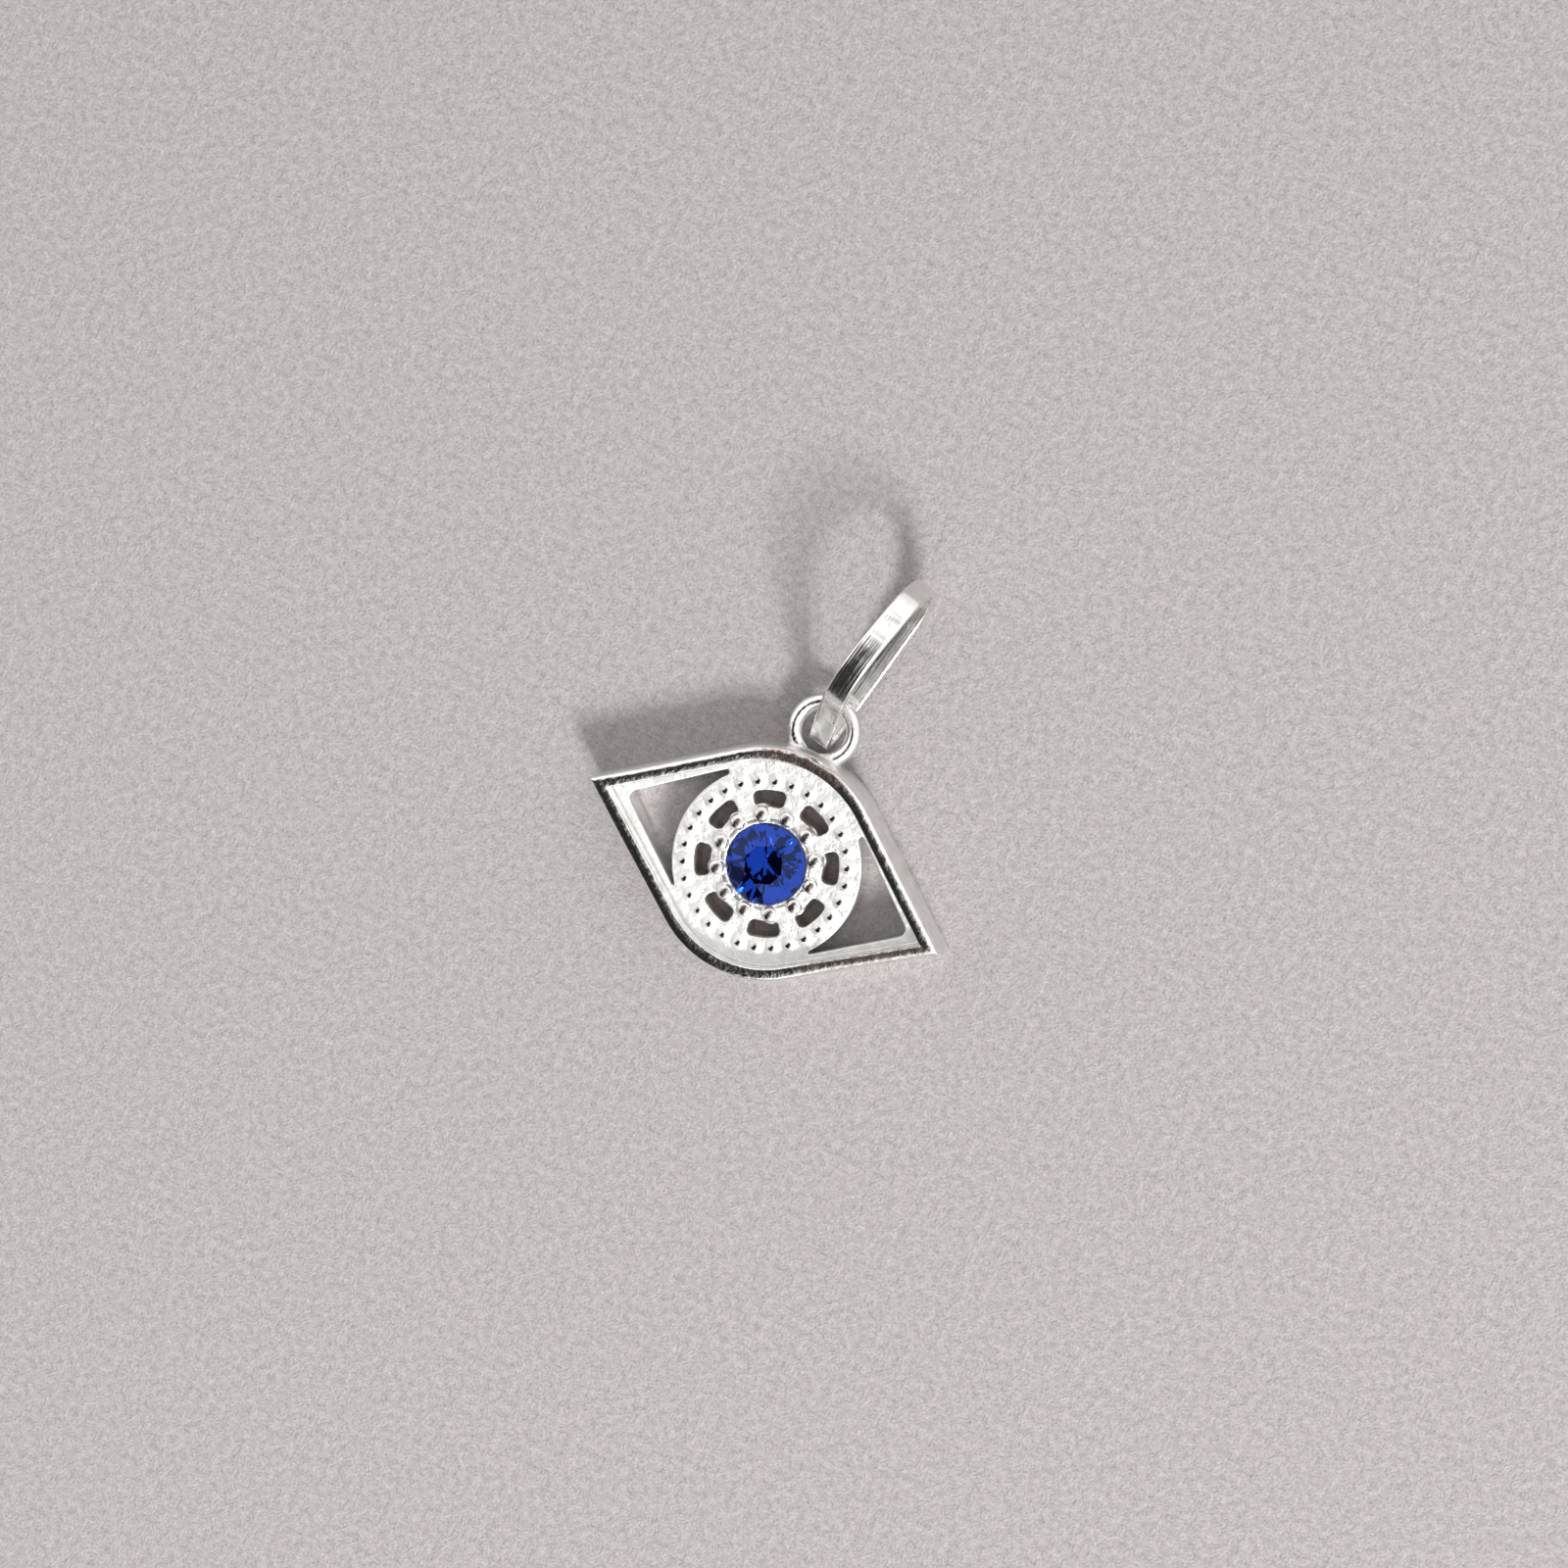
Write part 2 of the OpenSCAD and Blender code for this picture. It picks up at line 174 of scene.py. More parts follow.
def body(x, y, z):
    """Distance to the casting: below 0 inside it."""
    r = np.hypot(x, y)
    o = inset(x, y)
    # the rim: upright wall, bevelled shoulder (narrow at the lower left), slightly domed top
    bevel = BEVEL_W - BEVEL_LESS * np.clip(0.5 - (x + y) / 3, 0, 1) * np.clip(0.5 - y / 2, 0, 1)
    shoulder = (z - RIM_H + BEVEL_SLOPE * (bevel - o)) / math.hypot(1, BEVEL_SLOPE)
    crest = np.clip(o - (SHOULDER_W + RIM_W) / 2, -DOME_REACH, DOME_REACH)
    d = smax(smax(-o, shoulder, SOFT_SHOULDER), z - RIM_H + DOME * crest**2, SOFT_RIM)
    # the hollow inside the rim, with a groove where it meets the ledge
    o2 = inset(x, y + RIM_SHIFT)
    drop = RIM_H - FACE_H
    step = -((o2 - RIM_W - STEP_W) * drop + (z - FACE_H) * STEP_W) / math.hypot(drop, STEP_W)
    d = smax(d, -smax(step, FACE_H - z, SOFT_RIM), SOFT_RIM)
    d = smax(d, -opening(x, y), SOFT_OPENING)
    # slots
    sr, sa = fold(x, y, SLOT_N, 0.5)
    mid = (SLOT_IN + SLOT_OUT) / 2
    slot = rounded_box(sr - mid, mid * sa, (SLOT_OUT - SLOT_IN) / 2, SLOT_L / 2, SLOT_CORNER)
    d = smax(d, -slot, SOFT_SLOT)
    # low beads round the edge
    er, ea = fold(x, y, EDGE_N, 0)
    ex, ey = er * np.cos(ea) - EDGE_RING, er * np.sin(ea)
    bead = np.sqrt(ex**2 + ey**2 + (z - EDGE_TOP + EDGE_R) ** 2) - EDGE_R
    d = smin(d, np.maximum(bead, EDGE_FOOT - z), SOFT_BEAD)
    # collar and setting beads
    collar = smax(r - COLLAR_R, z - COLLAR_H, SOFT_COLLAR)
    d = smin(d, np.maximum(collar, -z), SOFT_BEAD)
    br, ba = fold(x, y, SET_N, 0)
    bx, by = br * np.cos(ba) - SET_RING, br * np.sin(ba)
    # each setting bead is pushed flat on top, and stands on a post
    across = np.hypot(bx - SET_OUT, by) / SET_R
    ball = across**SET_FLAT + (np.abs(z - SET_Z - SET_LIFT) / SET_HALF_H) ** SET_FLAT
    ball = (ball ** (1 / SET_FLAT) - 1) * SET_MEAN_R
    post = smax(np.hypot(bx - POST_OUT, by) - POST_R, z - SET_Z + POST_DROP, SOFT_COLLAR)
    d = smin(d, np.maximum(post, -z), SOFT_BEAD)
    d = smin(d, ball, SOFT_BALL)
    # seat of the stone
    cone = (SEAT_SLOPE * r - (z - SEAT_Z)) / math.hypot(SEAT_SLOPE, 1)
    seat = np.maximum(cone, r - STONE_R - SEAT_GAP)
    d = smax(d, -seat, SOFT_SEAT)
    # hanging loop
    lx, ly = -LOOP_DIST * math.sin(LOOP_TURN), LOOP_DIST * math.cos(LOOP_TURN)
    ring = np.hypot(np.hypot(x - lx, y - ly) - LOOP_R, z - LOOP_Z) - WIRE_R
    d = smin(d, ring, SOFT_LOOP)
    hole = LOOP_R - WIRE_R - HOLE_TRIM - np.hypot(x - lx, y - ly)
    return smax(smax(d, hole, SOFT_HOLE), -z, SOFT_BACK)


def surface(field, lo, hi, h):
    """The zero surface of a field as vertices and quads, with one vertex in each cell of
    size h that it crosses."""
    axes = [np.arange(a, b + h, h) for a, b in zip(lo, hi)]
    shape = tuple(len(a) for a in axes)
    f = np.empty(shape, np.float32)
    for i, xi in enumerate(axes[0]):
        gy, gz = np.meshgrid(axes[1], axes[2], indexing="ij")
        f[i] = field(np.full_like(gy, xi), gy, gz)
    s = f < 0
    cells = tuple(n - 1 for n in shape)
    count = np.zeros(cells, np.int8)
    corners = [(a, b, c) for a in (0, 1) for b in (0, 1) for c in (0, 1)]
    for a, b, c in corners:
        count += s[a : a + cells[0], b : b + cells[1], c : c + cells[2]]
    active = np.argwhere((count > 0) & (count < 8))
    value = {k: f[tuple((active + k).T)] for k in corners}
    total = np.zeros((len(active), 3))
    hits = np.zeros(len(active))
    for k in corners:
        for axis in range(3):
            if k[axis]:
                continue
            m = tuple(v + (i == axis) for i, v in enumerate(k))
            cross = (value[k] < 0) != (value[m] < 0)
            t = np.where(cross, value[k] / np.where(cross, value[k] - value[m], 1), 0)
            p = np.array(k, float)[None, :].repeat(len(active), 0)
            p[:, axis] = t
            total += p * cross[:, None]
            hits += cross
    verts = np.array(lo) + (active + total / hits[:, None]) * h
    index = np.full(cells, -1, np.int64)
    index[tuple(active.T)] = np.arange(len(active))
    quads = []
    for axis in range(3):
        u, v = (axis + 1) % 3, (axis + 2) % 3
        one = [slice(None)] * 3
        two = [slice(None)] * 3
        one[axis], two[axis] = slice(0, -1), slice(1, None)
        a, b = s[tuple(one)], s[tuple(two)]
        at = np.argwhere(a != b)
        at = at[(at[:, u] > 0) & (at[:, v] > 0) & (at[:, u] < cells[u]) & (at[:, v] < cells[v])]
        inside = a[tuple(at.T)]
        du, dv = np.eye(3, dtype=int)[u], np.eye(3, dtype=int)[v]
        ring = [index[tuple((at - m).T)] for m in (du * 0, du, du + dv, dv)]
        q = np.stack(ring, 1)
        q[~inside] = q[~inside][:, ::-1]
        quads.append(q)
    return verts, np.concatenate(quads)


def gradient(field, p, e=0.004):
    """The slope of a field at some points, measured over a distance e to either side."""
    g = np.empty_like(p)
    for i in range(3):
        a, b = p.copy(), p.copy()
        a[:, i] += e
        b[:, i] -= e
        g[:, i] = (field(*a.T) - field(*b.T)) / (2 * e)
    return g


def settle(field, p, times):
    """Moves points onto the surface of a field."""
    for _ in range(times):
        g = gradient(field, p)
        step = (field(*p.T) / np.maximum((g**2).sum(1), 0.05))[:, None] * g
        p = p - np.clip(step, -0.05, 0.05)
    return p


# ---------------------------------------------------------------- pieces
def add_piece(name, verts, faces, material, slot_name, *nodes):
    """A piece of the scene that rides on the one body and replaces the CAD's nodes."""
    mesh = bpy.data.meshes.new(name)
    points = (np.asarray(verts, float) * MM).tolist()
    mesh.from_pydata(points, [], [list(map(int, f)) for f in faces])
    mesh.materials.append(material)
    obj = bpy.data.objects.new(name, mesh)
    bpy.context.collection.objects.link(obj)
    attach(obj, "root")
    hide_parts(*nodes)
    return obj


def decimated(verts, quads, wanted):
    """The mesh with fewer faces, fewest where it is flat."""
    mesh = bpy.data.meshes.new("tmp")
    mesh.from_pydata(verts.tolist(), [], quads.tolist())
    obj = bpy.data.objects.new("tmp", mesh)
    bpy.context.collection.objects.link(obj)
    mod = obj.modifiers.new("fewer", "DECIMATE")
    mod.ratio = wanted / (2 * len(quads))
    done = obj.evaluated_get(bpy.context.evaluated_depsgraph_get()).to_mesh()
    p = np.empty(len(done.vertices) * 3)
    done.vertices.foreach_get("co", p)
    faces = [tuple(q.vertices) for q in done.polygons]
    obj.to_mesh_clear()
    bpy.data.objects.remove(obj)
    bpy.data.meshes.remove(mesh)
    return p.reshape(-1, 3), faces


def grows(value, width):
    """0 up to the value 0, 1 from the value width on."""
    return np.clip(value / width, 0, 1)


def add_body(material):
    verts, quads = surface(body, BODY_LOW, BODY_HIGH, GRID)
    verts = settle(body, verts, 1)
    if 2 * len(quads) > MOST_TRIANGLES:
        verts, quads = decimated(verts, quads, MOST_TRIANGLES)
    verts = settle(body, verts, 2)
    obj = add_piece("eye_casting", verts, quads, material, "silver", "eye_body")
    obj.data.polygons.foreach_set("use_smooth", [True] * len(obj.data.polygons))
    n = gradient(body, verts)
    n /= np.linalg.norm(n, axis=1)[:, None]
    obj.data.normals_split_custom_set_from_vertices(n.tolist())
    # how satin the metal is: 1 on the iris and the ledge, less on the outer wall, 0 where polished
    x, y, z = verts.T
    o, o2, r = inset(x, y), inset(x, y + RIM_SHIFT), np.hypot(x, y)
    satin = grows(o2 - RIM_W - STEP_W, 0.05) * grows(z - 0.9, 0.2)
    ball = grows(z - SET_Z - 0.08, 0.08) * (r < SET_RING + SET_R) * (r > STONE_R + 0.12)
    satin = satin * (1 - ball)
    wall = grows(0.09 - o, 0.04) * grows(RIM_H - 0.03 - z, 0.06)
    satin = np.maximum(satin, WALL_SATIN * wall * (r < EYE_HALF + 0.2) * (y < TOP_R + 0.05))
    # painted shade: darker deep in the slots below the iris face, where shade falls
    slot_shade = grows(FACE_H - 0.08 - z, 0.25) * (r < SLOT_OUT + 0.2)
    # painted reflection: a dark, brownish reflection painted on the rim over the top lid and at the
    # lower right, and on top of the setting beads
    turn = np.degrees(np.arctan2(y, x))
    rim = grows(o - 0.1, 0.05) * grows(0.54 - o, 0.05) * (z > RIM_H - 0.12)
    over = grows(turn - 64, 10) * grows(124 - turn, 12)
    right = (y < 0) * grows(x - 2.4, 1) * grows(7.1 - x, 0.3)
    br, ba = fold(x, y, SET_N, 0)
    spot = grows(0.23 - np.hypot(br * np.cos(ba) - SET_RING, br * np.sin(ba)), 0.06)
    dark_reflection = np.maximum(rim * np.maximum(over, 0.7 * right), 0.55 * spot * (z > SET_Z + 0.1))
    for name, value in (("satin", satin), ("slot_shade", slot_shade), ("dark_reflection", dark_reflection)):
        a = obj.data.attributes.new(name, "FLOAT", "POINT")
        a.data.foreach_set("value", value.astype(np.float32))


def add_stone(material):
    """The brilliant, cut from a block with one plane for each facet."""
    step = math.pi / 8
    half = math.cos(step)
    top_z, culet_z = GIRDLE_Z + GIRDLE_T, GIRDLE_Z - PAVILION_D
    table_z = top_z + CROWN_H

    def at(r, a, z):
        return Vector((r * math.cos(a), r * math.sin(a), z))

    star_z = table_z - CROWN_H * (STAR_R * half - TABLE_R) / (STONE_R - TABLE_R)
    lower_z = culet_z + PAVILION_D * LOWER_R * half / STONE_R
    planes = [(at(0, 0, table_z), Vector((0, 0, 1)))]

    def facet(a, b, c):
        n = (b - a).cross(c - a).normalized()
        planes.append((a, n if n.dot(a - Vector((0, 0, GIRDLE_Z))) > 0 else -n))

    for k in range(8):
        t = 2 * k * step
        corner, star = at(TABLE_R, t, table_z), at(STAR_R, t + step, star_z)
        lower = at(LOWER_R, t + step, lower_z)
        facet(corner, at(TABLE_R, t + 2 * step, table_z), star)
        facet(corner, star, at(STONE_R, t, top_z))
        facet(lower, at(STONE_R, t, GIRDLE_Z), at(0, 0, culet_z))
        for a in (t, t + step):
            facet(star, at(STONE_R, a, top_z), at(STONE_R, a + step, top_z))
            facet(lower, at(STONE_R, a, GIRDLE_Z), at(STONE_R, a + step, GIRDLE_Z))
    for k in range(GIRDLE_SIDES):
        n = at(1, (k + 0.5) * 2 * math.pi / GIRDLE_SIDES, 0)
        planes.append((n * STONE_R * math.cos(math.pi / GIRDLE_SIDES), n))
    bm = bmesh.new()
    bmesh.ops.create_cube(bm, size=8)
    for p, n in planes:
        geom = bm.verts[:] + bm.edges[:] + bm.faces[:]
        cut = bmesh.ops.bisect_plane(
            bm, geom=geom, dist=1e-6, plane_co=p, plane_no=n, clear_outer=True
        )
        if any(isinstance(g, bmesh.types.BMEdge) for g in cut["geom_cut"]):
            bmesh.ops.holes_fill(bm, edges=bm.edges[:], sides=0)
    bmesh.ops.remove_doubles(bm, verts=bm.verts[:], dist=1e-4)
    bmesh.ops.recalc_face_normals(bm, faces=bm.faces[:])
    verts = [tuple(v.co) for v in bm.verts]
    bm.verts.index_update()
    faces = [[v.index for v in f.verts] for f in bm.faces]
    bm.free()
    add_piece("stone_brilliant", verts, faces, material, "sapphire", "stone")


def bail_path():
    """Points and outward normals along the middle of the strip, in the bail's plane."""
    turns = []
    for i in range(3):
        (ax, ay, ar), (bx, by, br) = BAIL[i], BAIL[(i + 1) % 3]
        d = math.hypot(bx - ax, by - ay)
        lean = math.asin((ar - br) / d)
        turns.append(math.atan2(by - ay, bx - ax) - math.pi / 2 + lean)
    points, normals = [], []
    for i, (cx, cy, r) in enumerate(BAIL):
        a, b = turns[i - 1], turns[i]
        while b < a:
            b += 2 * math.pi
        steps = max(6, round(STRIP_TURN_STEPS * (b - a) / (2 * math.pi)))
        for j in range(steps + 1):
            t = a + (b - a) * j / steps
            n = (math.cos(t), math.sin(t))
            points.append((cx + (r - STRIP_T / 2) * n[0], cy + (r - STRIP_T / 2) * n[1]))
            normals.append(n)
        # the straight side to the next circle
        nx, ny, nr = BAIL[(i + 1) % 3]
        n, start = normals[-1], points[-1]
        end = (nx + (nr - STRIP_T / 2) * n[0], ny + (nr - STRIP_T / 2) * n[1])
        for j in range(1, STRIP_SIDE_STEPS):
            f = j / STRIP_SIDE_STEPS
            points.append((start[0] + (end[0] - start[0]) * f, start[1] + (end[1] - start[1]) * f))
            normals.append(n)
    return np.array(points), np.array(normals)


def add_bail(material):
    points, normals = bail_path()
    r, section = STRIP_EDGE_R, []
    for sx, sy, start in ((1, 1, 0), (-1, 1, 1), (-1, -1, 2), (1, -1, 3)):
        for j in range(STRIP_EDGE_STEPS):
            t = (start + j / (STRIP_EDGE_STEPS - 1)) * math.pi / 2
            thick, wide = sx * (STRIP_T / 2 - r), sy * (STRIP_W / 2 - r)
            section.append((thick + r * math.cos(t), wide + r * math.sin(t)))
    # the bail's own axes: along it, up its plane, and across the strip
    lean, turn = BAIL_LEAN, BAIL_TURN
    along = Vector((math.sin(turn), math.cos(turn), 0))
    side = Vector((-math.cos(turn), math.sin(turn), 0))
    up = side * math.sin(lean) + Vector((0, 0, math.cos(lean)))
    across = side * math.cos(lean) - Vector((0, 0, math.sin(lean)))
    start_z = REST_GAP + BAIL[0][2] * math.cos(lean) + STRIP_W / 2 * math.sin(lean)
    start = Vector((BAIL_X, BAIL_Y, start_z))
    verts, faces, place = [], [], []
    run = np.concatenate([[0], np.cumsum(np.linalg.norm(np.diff(points, axis=0), axis=1))])
    for (px, py), (nx, ny), length in zip(points, normals, run):
        for t, w in section:
            verts.append(tuple(start + along * (px + nx * t) + up * (py + ny * t) + across * w))
            place += [length, w, t]
    n, m = len(points), len(section)
    for i in range(n):
        for j in range(m):
            a, b = i * m + j, i * m + (j + 1) % m
            c, d = ((i + 1) % n) * m + (j + 1) % m, ((i + 1) % n) * m + j
            faces.append((a, d, c, b))
    obj = add_piece("bail_strip", verts, faces, material, "silver", "bail")
    # where each point lies on the strip, for its lengthwise scratches
    a = obj.data.attributes.new("strip", "FLOAT_VECTOR", "POINT")
    a.data.foreach_set("vector", place)
    obj.data.polygons.foreach_set("use_smooth", [True] * len(obj.data.polygons))


# ---------------------------------------------------------------- materials
SILVER_DARK, SILVER_LIGHT = (0.8, 0.787, 0.774), (0.925, 0.92, 0.912)
# painted shade for the slots, and a painted dark brownish reflection for the rim and beads
SLOT_SHADE, REFLECTION_BROWN = (0.7, 0.645, 0.61), (0.19, 0.1, 0.075)
STONE_BLUE, STONE_GLINT = (0.007, 0.037, 0.35), (0.16, 0.23, 0.62)
PAPER_DARK, PAPER_LIGHT = (0.246, 0.231, 0.2325), (0.44, 0.413, 0.416)
# inner and outer radius of a bead's polished spot, and how far it lies back from the bead's middle
SPOT_IN, SPOT_OUT, SPOT_X, SPOT_Y = 0.095, 0.125, 0.04, 0.045
FLOOR_HALF = 0.6  # metres


class Nodes:
    """Short calls for building one material's nodes."""

    def __init__(self, name):
        self.material = bpy.data.materials.new(name)
        self.material.use_nodes = True
        self.tree = self.material.node_tree
        self.shader = self.tree.nodes["Principled BSDF"]
        self.coord = self.add("ShaderNodeTexCoord").outputs["Object"]

    def add(self, kind, **values):
        node = self.tree.nodes.new(kind)
        for key, value in values.items():
            if hasattr(node, key):
                setattr(node, key, value)
        return node

    def link(self, a, b):
        self.tree.links.new(a, b)

    def noise(self, scale, detail=3, rough=0.5, stretch=(1, 1, 1), strip=False):
        """Noise with scale in features per millimetre, along the strip if strip is true."""
        mapping = self.add("ShaderNodeMapping")
        mapping.inputs["Scale"].default_value = [s / (1 if strip else MM) for s in stretch]
        coord = self.coord
        if strip:
            coord = self.add("ShaderNodeAttribute", attribute_name="strip").outputs["Vector"]
        self.link(coord, mapping.inputs["Vector"])
        n = self.add("ShaderNodeTexNoise")
        n.inputs["Scale"].default_value = scale
        n.inputs["Detail"].default_value = detail
        n.inputs["Roughness"].default_value = rough
        self.link(mapping.outputs[0], n.inputs["Vector"])
        return n.outputs["Fac"]

    def spread(self, value, a, b, low, high):
        """Low where the value is a, high where it is b, and clamped past them."""
        n = self.add("ShaderNodeMapRange")
        for i, v in enumerate((a, b, low, high), 1):
            n.inputs[i].default_value = v
        self.link(value, n.inputs[0])
        return n.outputs[0]

    def math(self, what, a, b):
        n = self.add("ShaderNodeMath", operation=what)
        for i, v in enumerate((a, b)):
            if isinstance(v, (int, float)):
                n.inputs[i].default_value = v
            else:
                self.link(v, n.inputs[i])
        return n.outputs[0]

    def mix(self, part, a, b):
        """Colour a where part is 0, colour b where it is 1."""
        n = self.add("ShaderNodeMix", data_type="RGBA")
        self.link(part, n.inputs[0])
        self.link(a, n.inputs[6])
        n.inputs[7].default_value = (*b, 1)
        return n.outputs[2]

    def ramp(self, value, *stops):
        """A colour ramp with stops of a position and a colour."""
        n = self.add("ShaderNodeValToRGB")
        el = n.color_ramp.elements
        while len(el) < len(stops):
            el.new(0.5)
        for e, (p, c) in zip(el, stops):
            e.position, e.color = p, (*c, 1)
        self.link(value, n.inputs[0])
        return n.outputs[0]

    def bump(self, height, distance, strength):
        """Gives the shader relief, with its distance in millimetres."""
        n = self.add("ShaderNodeBump")
        n.inputs["Distance"].default_value = distance * MM
        n.inputs["Strength"].default_value = strength
        self.link(height, n.inputs["Height"])
        self.link(n.outputs[0], self.shader.inputs["Normal"])


def bead_spots(n):
    """1 on a small spot on top of each edge bead, on the side that faces away from the camera."""
    xyz = n.add("ShaderNodeSeparateXYZ")
    n.link(n.coord, xyz.inputs[0])
    x, y = n.math("DIVIDE", xyz.outputs[0], MM), n.math("DIVIDE", xyz.outputs[1], MM)
    step = 2 * math.pi / EDGE_N
    sector = n.math("ROUND", n.math("DIVIDE", n.math("ARCTAN2", y, x), step), 0)
    turn = n.math("MULTIPLY", sector, step)
    cx, cy = (n.math("MULTIPLY", n.math(f, turn, 0), EDGE_RING) for f in ("COSINE", "SINE"))
    dx = n.math("ADD", n.math("SUBTRACT", x, cx), SPOT_X)
    dy = n.math("ADD", n.math("SUBTRACT", y, cy), SPOT_Y)
    far = n.math("ADD", n.math("MULTIPLY", dx, dx), n.math("MULTIPLY", dy, dy))
    return n.spread(far, SPOT_OUT**2, SPOT_IN**2, 0, 1)


def silver(name, cast):
    """Silver: cast, with satin, painted shade in the slots and a painted dark reflection read from
    the mesh, or else drawn as a strip.
    """
    n = Nodes(name)
    n.shader.inputs["Metallic"].default_value = 1
    tone = n.ramp(n.noise(2.2, 4), (0.3, SILVER_DARK), (0.65, SILVER_LIGHT))
    fine = n.noise(9, 4, 0.6)
    if cast:
        satin = n.add("ShaderNodeAttribute", attribute_name="satin").outputs["Fac"]
        plain = n.math("SUBTRACT", 1, bead_spots(n))
        satin = n.math("MULTIPLY", satin, plain)
        # painted shade deep in the slots
        slot_shade = n.add("ShaderNodeAttribute", attribute_name="slot_shade").outputs["Fac"]
        tone = n.mix(slot_shade, tone, SLOT_SHADE)
        # painted dark reflection, mottled, on the rim and the tops of the setting beads; it also
        # makes them rougher
        dark_reflection = n.add("ShaderNodeAttribute", attribute_name="dark_reflection").outputs["Fac"]
        dark_reflection = n.math("MULTIPLY", dark_reflection, n.spread(n.noise(5, 3, 0.6), 0.38, 0.6, 0.25, 1))
        tone = n.mix(dark_reflection, tone, REFLECTION_BROWN)
        rough = n.math("ADD", n.math("MULTIPLY", satin, 0.34), n.spread(fine, 0.3, 0.7, 0.07, 0.15))
        rough = n.math("ADD", rough, n.math("MULTIPLY", dark_reflection, 0.2))
        lump = n.noise(2.4, 3, 0.5)
        height = n.math("ADD", n.math("MULTIPLY", fine, 0.5), lump)
        # the iris is lumpy, the outer wall nearly smooth, the polished parts slightly uneven
        lumpy = n.spread(satin, WALL_SATIN, 1, 0, 0.88)
        uneven = n.spread(satin, 0, WALL_SATIN, 0.3, 0.12)
        part = n.math("ADD", lumpy, n.math("MULTIPLY", plain, uneven))
        n.bump(n.math("MULTIPLY", height, part), 0.075, 0.9)
    else:
        # scratches along the strip, and a slow ripple
        rough = n.spread(fine, 0.3, 0.7, 0.1, 0.24)
        scratch = n.noise(1, 3, 0.6, (0.35, 9, 1), strip=True)
        ripple = n.noise(1, 2, 0.5, (1.6, 0.4, 1), strip=True)
        height = n.math("ADD", n.math("MULTIPLY", scratch, 0.4), n.math("MULTIPLY", ripple, 0.6))
        n.bump(height, 0.05, 0.8)
    n.link(tone, n.shader.inputs["Base Color"])
    n.link(rough, n.shader.inputs["Roughness"])
    return n.material


def stone_material():
    n = Nodes("blue_stone")
    n.shader.inputs["Base Color"].default_value = (*STONE_BLUE, 1)
    n.shader.inputs["Transmission Weight"].default_value = 1
    n.shader.inputs["IOR"].default_value = 2.1
    n.shader.inputs["Specular Tint"].default_value = (*STONE_GLINT, 1)
    n.link(n.spread(n.noise(1.5, 2), 0.3, 0.7, 0, 0.03), n.shader.inputs["Roughness"])
    return n.material


def paper():
    n = Nodes("paper")
    n.shader.inputs["Roughness"].default_value = 0.9
    n.shader.inputs["Specular IOR Level"].default_value = 0.2
    fibre = n.noise(3.2, 5, 0.62)
    grain = n.noise(10, 3, 0.6)
    both = n.math("ADD", n.math("MULTIPLY", fibre, 0.5), n.math("MULTIPLY", grain, 0.5))
    tone = n.ramp(both, (0.34, PAPER_DARK), (0.66, PAPER_LIGHT))
    n.link(tone, n.shader.inputs["Base Color"])
    n.bump(both, 0.2, 0.7)
    return n.material


def add_floor(material):
    mesh = bpy.data.meshes.new("floor")
    s = FLOOR_HALF
    mesh.from_pydata([(-s, -s, 0), (s, -s, 0), (s, s, 0), (-s, s, 0)], [], [(0, 1, 2, 3)])
    mesh.materials.append(material)
    obj = bpy.data.objects.new("floor", mesh)
    bpy.context.collection.objects.link(obj)


# ---------------------------------------------------------------- light
SKY_LOW, SKY_HIGH, SKY_DIM = (0.95, 0.935, 0.925), (1.3, 1.285, 1.27), (0.3, 0.29, 0.283)
# dark shapes overhead that the silver mirrors: place (to the picture's right, to its top), half
# width and half height, lean to the right in degrees, colour
PATCHES = (
    (-0.45, -0.3, 0.33, 0.55, 33, (0.02, 0.019, 0.019)),
    (-0.18, 0.18, 0.14, 0.27, 33, (0.03, 0.024, 0.021)),
    (0.1, 0.24, 0.15, 0.34, 30, (0.05, 0.034, 0.028)),
)
KEY_SIZE, KEY_DIST, KEY_POWER, KEY_HEIGHT = 0.17, 0.6, 4.45, math.radians(40)  # metres and watts


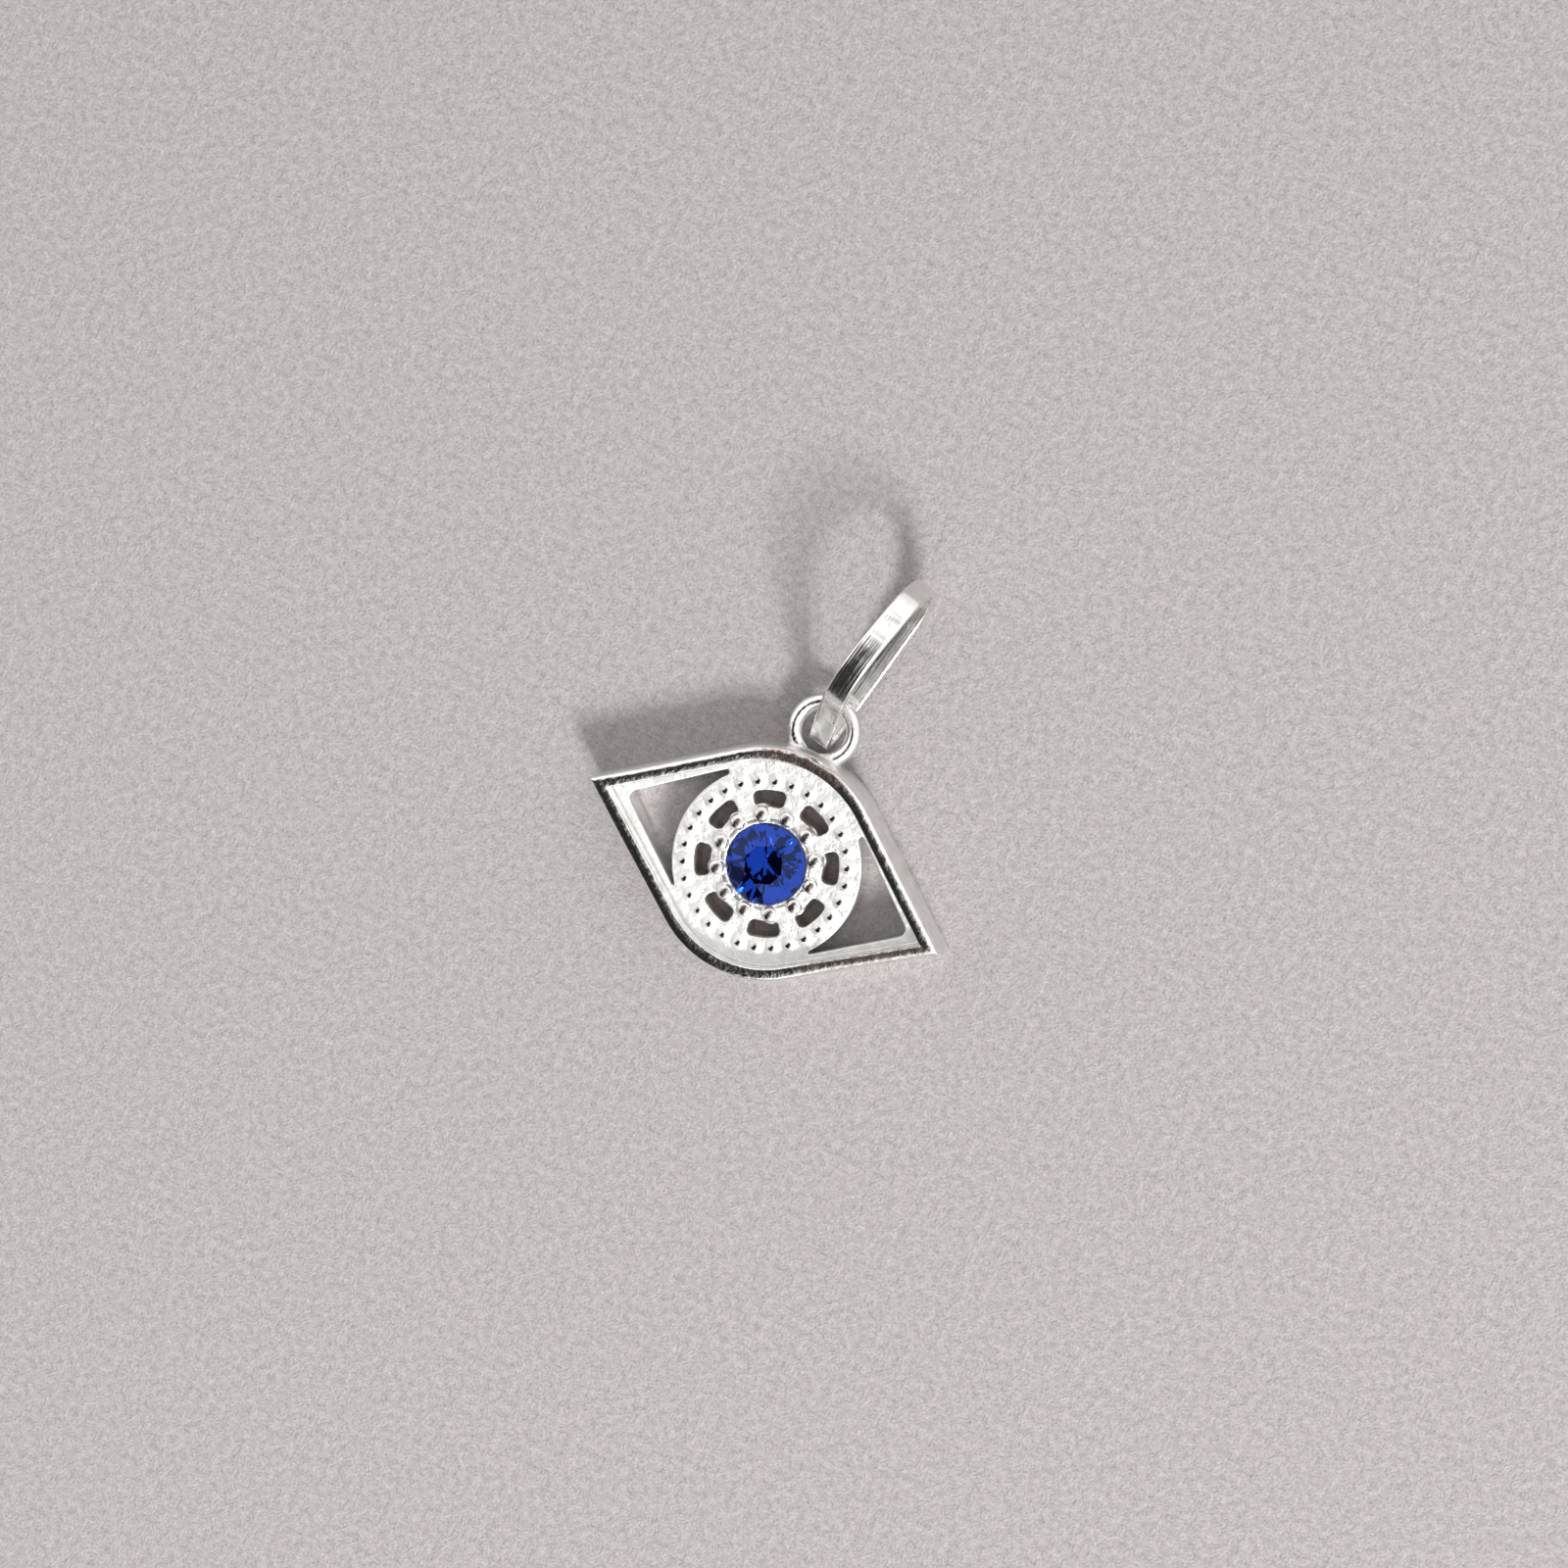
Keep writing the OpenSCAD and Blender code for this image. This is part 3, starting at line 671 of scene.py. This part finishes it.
def add_world():
    """Bright white, dimmer low down and towards the lower left, with the dark patches overhead."""
    world = bpy.data.worlds.new("world")
    world.use_nodes = True
    bpy.context.scene.world = world
    tree = world.node_tree
    coord = tree.nodes.new("ShaderNodeTexCoord").outputs["Generated"]

    def share(direction):
        node = tree.nodes.new("ShaderNodeVectorMath")
        node.operation = "DOT_PRODUCT"
        tree.links.new(coord, node.inputs[0])
        node.inputs[1].default_value = direction.normalized()
        return node.outputs["Value"]

    def calc(what, a, b):
        node = tree.nodes.new("ShaderNodeMath")
        node.operation = what
        for value, socket in ((a, node.inputs[0]), (b, node.inputs[1])):
            if isinstance(value, (int, float)):
                socket.default_value = value
            else:
                tree.links.new(value, socket)
        return node.outputs[0]

    def step(value, none, full):
        """0 at the value none, 1 at the value full."""
        node = tree.nodes.new("ShaderNodeMapRange")
        node.interpolation_type = "SMOOTHSTEP"
        tree.links.new(value, node.inputs[0])
        low = none < full
        for n, v in enumerate((none, full, 0, 1) if low else (full, none, 1, 0), 1):
            node.inputs[n].default_value = v
        return node.outputs[0]

    def mix(part, a, b):
        node = tree.nodes.new("ShaderNodeMix")
        node.data_type = "RGBA"
        tree.links.new(part, node.inputs[0])
        for value, socket in ((a, node.inputs[6]), (b, node.inputs[7])):
            if isinstance(value, tuple):
                socket.default_value = (*value, 1)
            else:
                tree.links.new(value, socket)
        return node.outputs[2]

    up, right, top = share(Vector((0, 0, 1))), share(PIC_RIGHT), share(PIC_UP)
    sky = mix(step(up, 0.1, 0.6), SKY_LOW, SKY_HIGH)
    low_left = share(-PIC_RIGHT * 0.8 - PIC_UP * 0.6)
    sky = mix(step(low_left, 0.6, 0.82), sky, SKY_DIM)

    def patch(at_right, at_top, half_w, half_h, lean):
        """1 inside an oval patch of the sky overhead, leaning over to the right, 0 outside."""
        c, t = math.cos(lean), math.sin(lean)
        x, y = calc("ADD", right, -at_right), calc("ADD", top, -at_top)
        x_w, y_w = calc("MULTIPLY", x, c / half_w), calc("MULTIPLY", y, t / half_w)
        x_h, y_h = calc("MULTIPLY", x, t / half_h), calc("MULTIPLY", y, c / half_h)
        across, along = calc("SUBTRACT", x_w, y_w), calc("ADD", x_h, y_h)
        far = calc("ADD", calc("MULTIPLY", across, across), calc("MULTIPLY", along, along))
        return step(far, 1.12, 0.88)

    for *place, lean, colour in PATCHES:
        sky = mix(patch(*place, math.radians(lean)), sky, colour)
    tree.links.new(sky, tree.nodes["Background"].inputs["Color"])


def add_key():
    light = bpy.data.lights.new("key", "AREA")
    light.shape, light.size = "DISK", KEY_SIZE
    light.energy = KEY_POWER
    light.color = (1, 0.985, 0.965)
    obj = bpy.data.objects.new("key", light)
    bpy.context.collection.objects.link(obj)
    flat = PIC_RIGHT * 0.47 - PIC_UP * 0.88
    way = flat.normalized() * math.cos(KEY_HEIGHT) + Vector((0, 0, math.sin(KEY_HEIGHT)))
    turn = way.to_track_quat("Z", "Y").to_matrix().to_4x4()
    obj.matrix_world = Matrix.Translation(way * KEY_DIST) @ turn


bpy.context.scene.view_settings.view_transform = "Standard"
add_world()
add_key()
add_floor(paper())
add_body(silver("silver_cast", True))
add_stone(stone_material())
add_bail(silver("silver_strip", False))
